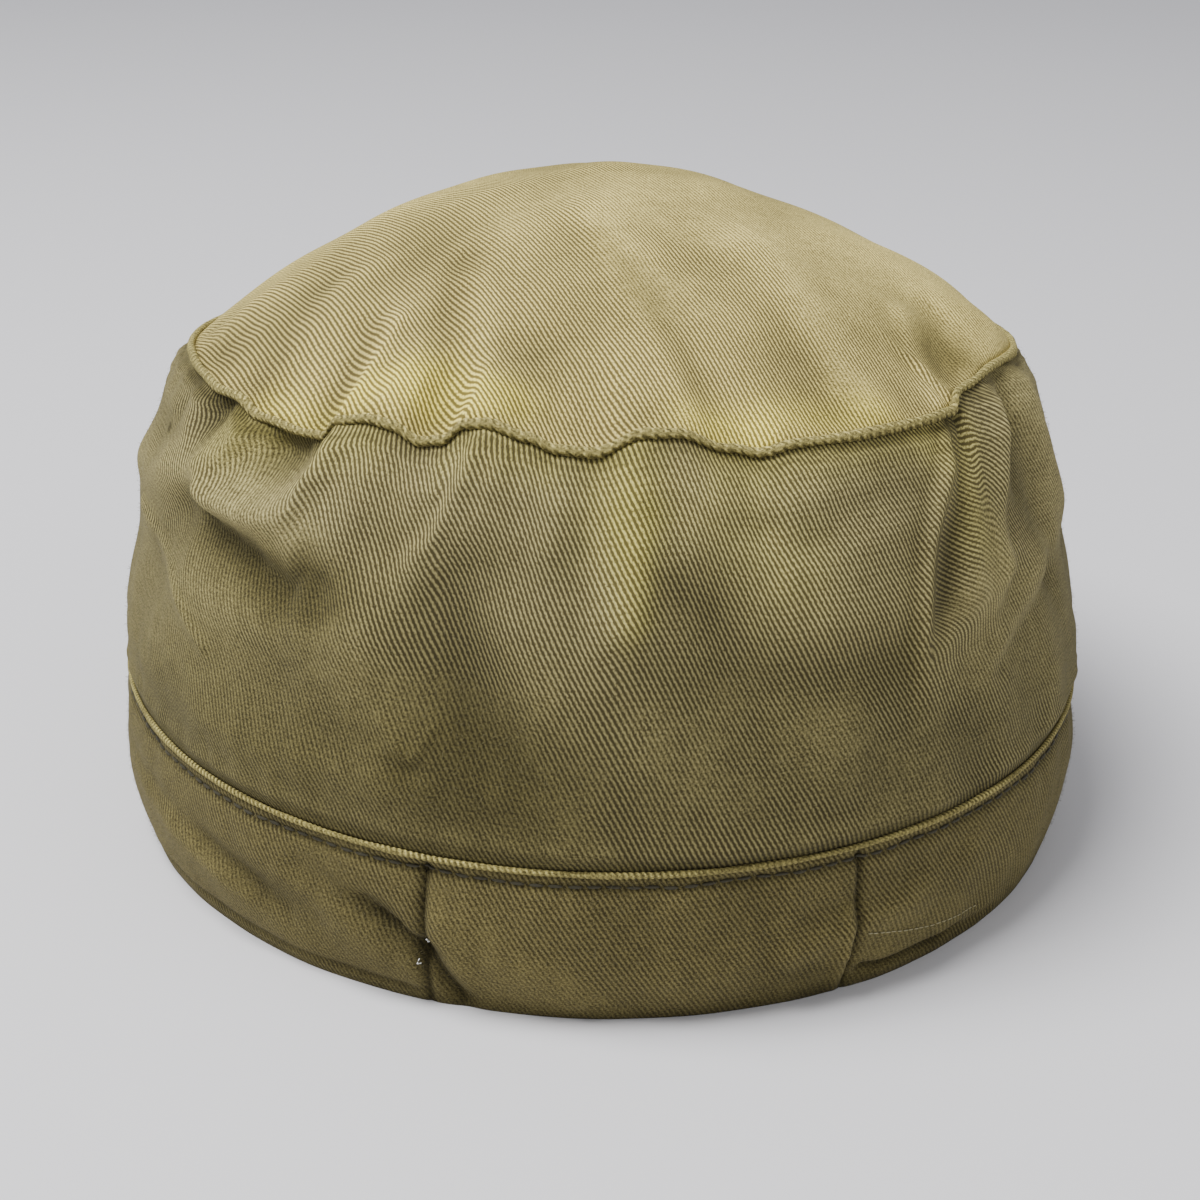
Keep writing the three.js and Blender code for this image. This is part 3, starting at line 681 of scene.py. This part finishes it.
# patches whose ribs the nap hides more
wallFelt = [
    ([(-180, 0.2), (180, 0.2)], 18, 18, 0.15),
    ([(-64, 0.35), (-40, 0.25), (-26, 0.25)], 14, 14, 0.08),
    ([(-45, 0.6), (-38, 0.55)], 12, 12, 0.14),
    ([(62, 0.9), (85, 0.8)], 14, 14, 0.2),
    ([(-95, 0.55), (-62, 0.45), (-48, 0.25)], 22, 22, 0.08),
    ([(-40, 0.12), (-20, 0.3)], 14, 14, 0.08),
    ([(-58, 0.62), (-40, 0.6)], 10, 10, 0.1),
    ([(-60, 0.95), (-46, 0.95)], 6, 6, 0.15),
    ([(48, 0.5), (75, 0.5), (100, 0.5)], 18, 18, 0.14),
    ([(-30, 0.75), (0, 0.8), (30, 0.75)], 16, 16, -0.12),
]
topFelt = [
    ([(-26, 0.9), (8, 0.92), (34, 0.9)], 20, 20, -0.12),
    ([(-60, 0.9), (-38, 0.88)], 16, 16, -0.1),
    ([(60, 0.95), (50, 0.8)], 12, 12, 0.15),
    ([(-30, 0.1), (30, 0.1)], 30, 30, 0.1),
    ([(-8, 0.35), (0, 0.55), (4.5, 0.75), (5.8, 0.95)], 5, 5, 0.2),
    ([(40, 0.6), (31, 0.76), (30.5, 0.92)], 4, 4, 0.18),
    ([(60, 0.5), (75, 0.7), (90, 0.5)], 25, 25, 0.16),
]
bandFelt = [
    ([(-120, 0.4), (-60, 0.4), (-28, 0.4)], 16, 16, 0.12),
    ([(-20, 0.1), (20, 0.1)], 8, 8, 0.16),
    ([(-18, 0.7), (18, 0.7)], 8, 8, -0.08),
    ([(30, 0.3), (60, 0.4), (120, 0.4)], 12, 12, 0.12),
]
# painted shade in the band's upright seam ditches, creases, hem groove and the groove under its roll, and
# along its lower edge
bandPaintedShade = [
    ([(-22.6, 0.9), (-22.8, 0.4), (-22.5, 0)], 0.7, 0.7, 0.85),
    ([(22.6, 0.95), (22.6, 0)], 0.6, 0.6, 0.85),
    ([(-120, -0.02), (120, -0.02)], 3, 3, 0.5),
    ([(-28, 0.58), (-23.4, 0.42)], 2.6, 2.6, 0.35),
    ([(-28, 0.57), (-25.5, 0.52), (-23.2, 0.42)], 0.6, 0.6, 0.6),
    ([(-21.8, 0.35), (-19, 0.05)], 2.6, 2.6, 0.35),
    ([(-22, 0.36), (-20.6, 0.2), (-19, 0.05)], 0.6, 0.6, 0.6),
    ([(24.2, 0.16), (26.9, 0.12), (31.5, 0.12), (35.7, 0.1), (38.9, 0.13)], 0.8, 0.8, 0.85),
    ([(-180, 0.925), (180, 0.925)], 0.7, 0.7, 0.8),
    ([(-180, 0.1), (-23.4, 0.1)], 0.6, 0.6, 0.45),
    ([(16, 0.25), (19, 0.1)], 4, 4, 0.35),
]

panels = dict(aroundCount=820, rearDensity=0.24, innerRows=24, slackReach=16, slackLeast=3)


# cloth taken up by folds, along one axis of a grid of points; far from the folds it comes back to nothing
def takenUp(point, folds, axis):
    spacing = np.linalg.norm(np.diff(point, axis=axis), axis=-1)
    extra = np.hypot(spacing, np.diff(folds, axis=axis)) - spacing
    total = np.cumsum(np.concatenate([0 * extra.take([0], axis), extra], axis), axis)
    reach = max(panels["slackLeast"], int(panels["slackReach"] / spacing.mean()))
    padded = np.concatenate([total.take([0] * reach, axis), total, total.take([-1] * reach, axis)], axis)
    window = np.hanning(2 * reach + 3)[1:-1]
    smooth = np.apply_along_axis(np.convolve, axis, padded, window / window.sum(), "valid")
    return total - smooth


# what the twill reads at each point: its place in the weave in millimetres, the fold relief that paints light
# and shade on it, its yellowing, its painted shade and its felted patches
def withWeave(point, across, up, folds, stain, paintedShade, felt):
    weave = np.stack([across + takenUp(point, folds, 1), up + takenUp(point, folds, 0), 0 * up], -1)
    return dict(weave=weave, relief=folds, stain=stain, paintedShade=paintedShade, felt=felt)


# the cloth behind the pleat was drawn in at a slant, so its ribs run flatter; it fades out to the right
pleatWeave = dict(turn=-34, middle=(47, 0.78), start=(0.6, 1.6), fade=(9, 26), height=(0.42, 0.6))


def turnedBehindPleat(weave, angle, share):
    edge = np.interp(share, [spot[1] for spot in pleatEdge[::-1]], [spot[0] for spot in pleatEdge[::-1]])
    beyond = np.radians(angle - edge) * cap["bandSide"]
    window = ramp(beyond, *pleatWeave["start"]) * (1 - ramp(beyond, *pleatWeave["fade"]))
    turn = np.radians(pleatWeave["turn"]) * window * ramp(share, *pleatWeave["height"])
    middle = wallPlace(*pleatWeave["middle"])
    u, v = weave[..., 0] - middle[0], weave[..., 1] - middle[1]
    turned = weave.copy()
    turned[..., 0] = middle[0] + u * np.cos(turn) - v * np.sin(turn)
    turned[..., 1] = middle[1] + u * np.sin(turn) + v * np.cos(turn)
    return turned


wallPanel = dict(rows=95, span=(0.004, 0.996), thickness=1.6)


def sideWall():
    angles = roundAngles(panels["aroundCount"])
    shares = np.linspace(*wallPanel["span"], wallPanel["rows"])
    share, angle = np.meshgrid(shares, angles, indexing="ij")
    point, folds = wallPoint(angle, share)
    across = np.radians(angle) * cap["bandSide"]
    up = share * wallHeight
    marks = [foldHeight(rows, across, up, wallPlace) for rows in (wallYellow, wallPaintedShade, wallFelt)]
    fields = withWeave(point, across, up, folds, *marks)
    # the relief that paints light and shade on the colour, with the wall's patches of painted light added
    fields["relief"] = folds + foldHeight(wallPaintedLight, across, up, wallPlace)
    fields["weave"] = turnedBehindPleat(fields["weave"], angle, share)
    grid, grown = withInside(point, gridNormals(point), fields, wallPanel["thickness"])
    piece = clothPiece("sideWall", grid, grown, wallCloth, True)
    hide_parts("side_wall")


topPanel = dict(rows=62, crowding=0.9, span=0.997, thickness=1.6, weaveStretch=1.12, foldShadeGain=2.3)


def crownTop():
    angles = roundAngles(panels["aroundCount"])
    shares = np.linspace(0, 1, topPanel["rows"]) ** topPanel["crowding"] * topPanel["span"]
    share, angle = np.meshgrid(shares, angles, indexing="ij")
    point, folds = topPoint(angle, share)
    across, up = -point[..., 0], point[..., 1]
    fields = dict(
        weave=np.stack([across, -up * topPanel["weaveStretch"], 0 * share], -1),
        # the folds' relief, scaled up, paints light on the ridges and shade in the hollows of the top's
        # colour
        relief=folds * topPanel["foldShadeGain"],
        stain=foldHeight(topYellow, across, up, topPlace),
        paintedShade=foldHeight(topPaintedShade, across, up, topPlace),
        felt=foldHeight(topFelt, across, up, topPlace),
    )
    normal = gridNormals(point[::-1])[::-1]
    normal[normal[..., 2] < 0] *= -1
    normal[0] = (0, 0, 1)
    grid, grown = withInside(point, normal, fields, topPanel["thickness"])
    piece = clothPiece("crownTop", grid[::-1], {k: v[::-1] for k, v in grown.items()}, topCloth, False)
    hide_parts("crown_top")


bandPanels = dict(rows=46, span=(0, 0.995), rearColumns=150, frontColumns=560, thickness=2.2)


def bandPanel(name, fromAngle, toAngle, columns, node):
    shares = np.linspace(*bandPanels["span"], bandPanels["rows"])
    angles = np.linspace(fromAngle, toAngle, columns)
    share, angle = np.meshgrid(shares, angles, indexing="ij")
    wrapped = np.where(angle > 180, angle - 360, angle)
    point, folds = bandPoint(wrapped, share)
    across = np.radians(wrapped) * cap["bandSide"]
    up = share * cap["bandHeight"]
    paintedShade = foldHeight(bandPaintedShade, across, up, bandPlace)
    felt = foldHeight(bandFelt, across, up, bandPlace)
    fields = withWeave(point, np.radians(angle) * cap["bandSide"], up, folds, 0 * share, paintedShade, felt)
    grid, grown = withInside(point, gridNormals(point), fields, bandPanels["thickness"])
    piece = clothPiece(name, grid, grown, bandCloth, True)
    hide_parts(node)


# a rolled seam: cloth folded over, its twill showing as slanting ribs along the roll; the tilt is in degrees
topWeltLook = dict(
    radius=0.8, flat=0.9, lift=0.45, tilt=38, ribPitch=1.7, ribDepth=0.065, ribTwist=2.6, sides=14,
)
bandWeltLook = dict(
    radius=0.52, flat=0.85, lift=0.3, tilt=0, ribPitch=1, ribDepth=0.05, ribTwist=1, sides=12,
)
# both rolls: unevenness as (seed, wave lengths, height), painted shade below the roll and between its ribs,
# painted light over the roll and on its rib crests, and their yellowing
rollForm = dict(
    sections=2300, uneven=(8, (40, 15, 7), 0.14), underPaintedShade=0.9, underFrom=0.45,
    groovePaintedShade=0.3, grooveFrom=0.3, light=0.8, ribLight=2.2, yellow=0.3,
)


def weltPiece(name, seam, normal, look, material, node):
    tilt = math.radians(look["tilt"])
    outward = normal * math.cos(tilt)
    outward[:, 2] = math.sin(tilt)
    upward = -normal * math.sin(tilt)
    upward[:, 2] = math.cos(tilt)
    centre = seam + outward * look["lift"]
    step = np.linalg.norm(np.diff(centre, axis=0), axis=1)
    length = np.concatenate([[0], np.cumsum(step)])
    along, turn = np.meshgrid(length, np.linspace(0, 2 * math.pi, look["sides"] + 1)[:-1])
    rope = np.cos(2 * math.pi * along / look["ribPitch"] + look["ribTwist"] * turn)
    radius = look["radius"] * (1 + softRelief(centre, *rollForm["uneven"])) + look["ribDepth"] * rope
    out = (radius * look["flat"] * np.cos(turn))[..., None] * outward
    rise = (radius * np.sin(turn))[..., None] * upward
    # painted shade under the roll and in the grooves between its ribs
    paintedShade = rollForm["underPaintedShade"] * ramp(-np.sin(turn), rollForm["underFrom"], 1)
    paintedShade += rollForm["groovePaintedShade"] * ramp(-rope, rollForm["grooveFrom"], 1)
    fields = dict(
        weave=np.stack([along, turn * look["radius"], 0 * along], -1),
        # painted light over the roll, brighter on its rib crests
        relief=rollForm["light"] + rollForm["ribLight"] * rope,
        stain=rollForm["yellow"] + 0 * along, paintedShade=paintedShade, felt=0 * along,
    )
    grid = centre + out + rise
    piece = clothPiece(name, grid[::-1], {k: v[::-1] for k, v in fields.items()}, material, True)
    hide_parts(node)


def topWelt():
    angle = roundAngles(rollForm["sections"])
    seam = topSeamPlan(angle)
    seam[:, 2] = topSeamHeight(angle)
    weltPiece("topWelt", seam, ovalNormal("top", angle), topWeltLook, weltCloth, "top_welt")


def bandWelt():
    angle = roundAngles(rollForm["sections"])
    seam = oval("band", angle)
    seam[:, 2] = cap["bandHeight"]
    weltPiece("bandWelt", seam, ovalNormal("band", angle), bandWeltLook, lowWeltCloth, "band_welt")


# thread: how it swells along a stitch, and how unevenly the stitches are set
stitchForm = dict(
    widths=(0.25, 0.85, 1, 1, 0.85, 0.25), corners=6, start=0.5, startShake=0.15, sideShake=0.06,
)


# rows of thread stitches lying along lines on the cloth
def stitchRows(name, lines, look, material):
    rings, corners = len(stitchForm["widths"]), stitchForm["corners"]
    points, faces = [], []
    for line in lines:
        step = np.linalg.norm(np.diff(line, axis=0), axis=1)
        length = np.concatenate([[0], np.cumsum(step)])
        pitch = look["length"] + look["gap"]
        for start in np.arange(stitchForm["start"], length[-1] - look["length"], pitch):
            start += random.uniform(-stitchForm["startShake"], stitchForm["startShake"])
            spots = start + look["length"] * np.linspace(0, 1, rings)
            spine = np.stack([np.interp(spots, length, line[:, i]) for i in range(3)], -1)
            way = spine[-1] - spine[0]
            way /= np.linalg.norm(way)
            sideways = np.cross(way, (0, 0, 1))
            sideways /= np.linalg.norm(sideways)
            above = np.cross(sideways, way)
            spine += sideways * random.uniform(-stitchForm["sideShake"], stitchForm["sideShake"])
            base = len(points)
            for spot, width in zip(spine, stitchForm["widths"]):
                for corner in range(corners):
                    turn = 2 * math.pi * corner / corners
                    offset = sideways * math.cos(turn) + above * math.sin(turn)
                    points.append(spot + offset * look["radius"] * width)
            for ring in range(rings - 1):
                for corner in range(corners):
                    a = base + ring * corners + corner
                    b = base + ring * corners + (corner + 1) % corners
                    faces.append((a, b, b + corners, a + corners))
            faces.append(tuple(range(base + corners - 1, base - 1, -1)))
            faces.append(tuple(range(len(points) - corners, len(points))))
    piece = addPiece(name, points, faces, material)


# the short stiffened peak, plain because the photograph doesn't show it
peakLook = dict(
    length=46, thickness=2.4, cornerLength=2, floorClearance=0.8, crown=2.5, columns=160, rows=48,
    rootStand=0.1, fanShare=0.55, tipRoundness=0.7, edgeRun=1.6, edgeShare=0.02, weaveRadius=90,
)
peakStitchLook = dict(length=2.6, gap=0.7, radius=0.2, insets=(3, 6.5, 10), nearest=0.04, cornerClear=6)


def peakPiece():
    side = np.linspace(-1, 1, peakLook["columns"])
    angle = 180 - side * cap["peakHalfAngle"]
    angle = np.where(angle > 180, angle - 360, angle)

    # the root along the band, and the way and length that the peak grows from it
    half = peakLook["thickness"] / 2
    tipTop = peakLook["floorClearance"] + peakLook["thickness"]
    rootTop = rimHeight(angle) + tipTop
    climb = rootTop / cap["bandHeight"]
    root = oval("rim", angle) + (oval("band", angle) - oval("rim", angle)) * climb[:, None]
    stand = bandForm["belly"] * np.sin(math.pi * climb) + peakLook["rootStand"]
    root += ovalNormal("band", angle) * stand[:, None]
    lean = np.radians(side * cap["peakHalfAngle"] * peakLook["fanShare"])
    forward = np.stack([-np.sin(lean), -np.cos(lean), 0 * lean], -1)
    growth = np.maximum(np.cos(side * math.pi / 2), 0) ** peakLook["tipRoundness"]
    length = peakLook["cornerLength"] + (peakLook["length"] - peakLook["cornerLength"]) * growth

    # height of the peak's upper side at a share of its length
    def topAt(share):
        bow = peakLook["crown"] * (length / peakLook["length"]) * np.sin(math.pi * share)
        return rootTop + (tipTop - rootTop) * share + bow

    t = np.linspace(0, 1, peakLook["rows"])[:, None]
    middle = root + forward * (t * length)[..., None]
    middle[..., 2] = topAt(t) - half
    tip = ramp((t - 1) * length / peakLook["edgeRun"] + 1, 0, 1)
    edge = np.sqrt(np.clip(1 - tip ** 2, peakLook["edgeShare"], 1)) * half
    thick = np.stack([0 * edge, 0 * edge, edge], -1)
    grid = np.concatenate([middle + thick, (middle - thick)[::-1]])
    across = np.radians(side * cap["peakHalfAngle"]) * peakLook["weaveRadius"] + 0 * t
    weave = np.stack([across, t * length, 0 * across], -1)
    weave = np.concatenate([weave, weave[::-1]])
    flat = 0 * weave[..., 0]
    fields = dict(weave=weave[::-1], relief=flat, stain=flat, paintedShade=flat, felt=flat)
    piece = clothPiece("peak", grid[::-1], fields, peakCloth, True)
    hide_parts("peak")

    rows = []
    for inset in peakStitchLook["insets"]:
        back = np.clip(1 - inset / length, peakStitchLook["nearest"], 1)
        line = root + forward * (back * length)[:, None]
        line[:, 2] = topAt(back)
        rows.append(line[length > inset + peakStitchLook["cornerClear"]])
    stitchRows("peakStitches", rows, peakStitchLook, paleThread)


# short loose fibres standing off the cloth; crowding 2 spreads them evenly over the round top
topFuzz = dict(count=11000, length=(0.9, 2.4), width=0.065, lift=(0.2, 1.1), shares=(0.03, 0.99), crowding=2)
wallFuzz = dict(count=14000, length=(0.6, 1.3), width=0.04, lift=(0.1, 0.7), shares=(0.12, 0.99), crowding=1)
bandFuzz = dict(count=14000, length=(0.5, 1.1), width=0.04, lift=(0.1, 0.6), shares=(0.11, 0.98), crowding=1)
fuzzForm = dict(
    angles=(-179, 179), alongStep=0.5, upStep=0.01, kneeReach=0.45, kneeLift=0.8, tipReach=0.85, tipSway=9,
)


def clothFuzz(name, pointAt, look, material):
    count = look["count"]
    rng = np.random.default_rng(sum(map(ord, name)))
    angle = rng.uniform(*fuzzForm["angles"], count)
    low, high = [share ** look["crowding"] for share in look["shares"]]
    share = rng.uniform(low, high, count) ** (1 / look["crowding"])
    root = pointAt(angle, share)[0]
    along = pointAt(angle + fuzzForm["alongStep"], share)[0] - root
    downward = pointAt(angle, share - fuzzForm["upStep"])[0] - root
    normal = np.cross(downward, along)
    normal /= np.linalg.norm(normal, axis=-1, keepdims=True)
    along /= np.linalg.norm(along, axis=-1, keepdims=True)
    turn = rng.uniform(0, 2 * math.pi, count)[:, None]
    way = along * np.cos(turn) + np.cross(normal, along) * np.sin(turn)
    side = np.cross(normal, way) * look["width"] / 2
    length = rng.uniform(*look["length"], count)[:, None]
    lift = rng.uniform(*look["lift"], count)[:, None]
    knee = root + way * length * fuzzForm["kneeReach"] + normal * lift * fuzzForm["kneeLift"]
    sway = side * rng.uniform(-fuzzForm["tipSway"], fuzzForm["tipSway"], count)[:, None]
    tip = root + way * length * fuzzForm["tipReach"] + normal * lift + sway
    points = np.stack([root - side, root + side, knee + side, knee - side, tip], 1).reshape(-1, 3)
    base = np.arange(count)[:, None] * 5
    faces = (base + [0, 1, 2, 3]).tolist() + (base + [3, 2, 4]).tolist()
    piece = addPiece(name, points, faces, material, smooth=False)


def bandLine(fromSpot, toSpot, look):
    angle = np.linspace(fromSpot[0], toSpot[0], look["samples"])
    share = np.linspace(fromSpot[1], toSpot[1], look["samples"])
    return bandPoint(angle, share)[0] + ovalNormal("band", angle) * look["stand"]


topstitchLook = dict(share=0.925, length=2.3, gap=0.7, radius=0.28, stand=0.12, samples=900)
hemStitchLook = dict(
    spots=[(23.4, 0.44), (28.3, 0.36), (32.9, 0.29), (36.5, 0.27), (42, 0.22)],
    length=1.2, gap=0.25, radius=0.12, stand=0.1, samples=30,
)


def bandStitches():
    around = bandLine((-179, topstitchLook["share"]), (179, topstitchLook["share"]), topstitchLook)
    stitchRows("bandTopstitch", [around], topstitchLook, darkThread)
    spots = hemStitchLook["spots"]
    pieces = [bandLine(a, b, hemStitchLook) for a, b in zip(spots[:-1], spots[1:])]
    stitchRows("bandHemStitch", [np.concatenate(pieces)], hemStitchLook, paleThread)


# a wisp of white thread caught in the band's left upright seam
wispLook = dict(
    length=0.5, gap=-0.12, radius=0.1, samples=24, stand=0.25, bow=0.5,
    strands=[
        [(-22.1, 0.5), (-22.4, 0.47), (-22.8, 0.43), (-22.6, 0.4)],
        [(-22.0, 0.46), (-22.6, 0.45), (-22.9, 0.4)],
        [(-23.2, 0.34), (-23.3, 0.31), (-23.0, 0.3)],
    ],
)


def looseThread():
    t = np.linspace(0, 1, wispLook["samples"])
    lift = wispLook["stand"] + wispLook["bow"] * np.sin(math.pi * t)
    lines = []
    for strand in wispLook["strands"]:
        angle, share = [np.interp(t, np.linspace(0, 1, len(strand)), column) for column in zip(*strand)]
        lines.append(bandPoint(angle, share)[0] + ovalNormal("band", angle) * lift[:, None])
    stitchRows("looseThread", lines, wispLook, whiteThread)


wallCloth = twillCloth("wallTwill", clothLooks["wall"])
topCloth = twillCloth("topTwill", clothLooks["top"])
bandCloth = twillCloth("bandTwill", clothLooks["band"])
weltCloth = twillCloth("rolledTwill", clothLooks["topRoll"])
lowWeltCloth = twillCloth("bandRolledTwill", clothLooks["bandRoll"])
peakCloth = twillCloth("peakTwill", clothLooks["peak"])
darkThread = plainMaterial("darkThread", (0.032, 0.028, 0.012, 1))
paleThread = plainMaterial("paleThread", (0.3, 0.27, 0.14, 1))
topFibre = plainMaterial("topFibre", (0.46, 0.4, 0.18, 1))
wallFibre = plainMaterial("wallFibre", (0.15, 0.13, 0.055, 1))
bandFibre = plainMaterial("bandFibre", (0.13, 0.112, 0.048, 1))
whiteThread = plainMaterial("whiteThread", (0.85, 0.85, 0.82, 1))
print("materials ready")

sideWall()
crownTop()
print("crown built")
seamAngle = cap["rearPanelAngle"]
bandPanel("bandRear", -seamAngle, seamAngle, bandPanels["rearColumns"], "band_rear")
bandPanel("bandFront", seamAngle, 360 - seamAngle, bandPanels["frontColumns"], "band_front")
topWelt()
bandWelt()
peakPiece()
print("band, seams and peak built")
bandStitches()
looseThread()
print("stitches laid")
clothFuzz("topFuzz", topPoint, topFuzz, topFibre)
clothFuzz("wallFuzz", wallPoint, wallFuzz, wallFibre)
clothFuzz("bandFuzz", bandPoint, bandFuzz, bandFibre)
print("loose fibres laid")

# floor and light, in metres
studio = dict(
    floorSize=8, floorColour=(0.78, 0.773, 0.79, 1), worldColour=(0.86, 0.87, 0.93, 1), worldStrength=0.5,
    target=(0, 0.03, 0.06),
    lights=dict(
        keyLight=dict(place=(0.56, 0.28, 1.26), size=0.8, power=29),
        fillLight=dict(place=(-0.9, 0.7, 0.7), size=1.2, power=3),
    ),
)


def studioScene():
    half = studio["floorSize"] / 2
    mesh = bpy.data.meshes.new("floor")
    corners = [(-half, -half, 0), (half, -half, 0), (half, half, 0), (-half, half, 0)]
    mesh.from_pydata(corners, [], [(0, 1, 2, 3)])
    mesh.materials.append(plainMaterial("floorPaint", studio["floorColour"]))
    floor = bpy.data.objects.new("floor", mesh)
    bpy.context.scene.collection.objects.link(floor)
    world = bpy.data.worlds.new("studio")
    world.use_nodes = True
    background = world.node_tree.nodes["Background"]
    background.inputs["Color"].default_value = studio["worldColour"]
    background.inputs["Strength"].default_value = studio["worldStrength"]
    bpy.context.scene.world = world
    for name, look in studio["lights"].items():
        light = bpy.data.lights.new(name, "AREA")
        light.shape = "DISK"
        light.size = look["size"]
        light.energy = look["power"]
        lamp = bpy.data.objects.new(name, light)
        lamp.location = look["place"]
        aim = Vector(studio["target"]) - Vector(look["place"])
        lamp.rotation_euler = aim.to_track_quat("-Z", "Y").to_euler()
        bpy.context.scene.collection.objects.link(lamp)


# the camera, round a target on the cap; degrees and millimetres
view = dict(elevation=22.9, turn=4.7, roll=0.8, distance=389, target=(0.1, 33.8, 49.35), lens=66, sensor=36)


def photoCamera():
    e, t, r = (math.radians(view[k]) for k in ("elevation", "turn", "roll"))
    spin = Matrix.Rotation(-t, 3, "Z")
    target = spin @ Vector(view["target"]) + Vector((0, capShift, 0))
    back = spin @ Vector((0, math.cos(e), math.sin(e)))
    right = spin @ Vector((-1, 0, 0))
    up = spin @ Vector((0, -math.sin(e), math.cos(e)))
    rolledRight = right * math.cos(r) + up * math.sin(r)
    rolledUp = up * math.cos(r) - right * math.sin(r)
    place = (target + back * view["distance"]) * mm
    camera = bpy.data.cameras.new("photoCamera")
    camera.lens = view["lens"]
    camera.sensor_width = view["sensor"]
    holder = bpy.data.objects.new("photoCamera", camera)
    basis = Matrix((rolledRight, rolledUp, back)).transposed().to_4x4()
    holder.matrix_world = Matrix.Translation(place) @ basis
    bpy.context.scene.collection.objects.link(holder)
    bpy.context.scene.camera = holder


studioScene()
photoCamera()
print("studio ready")
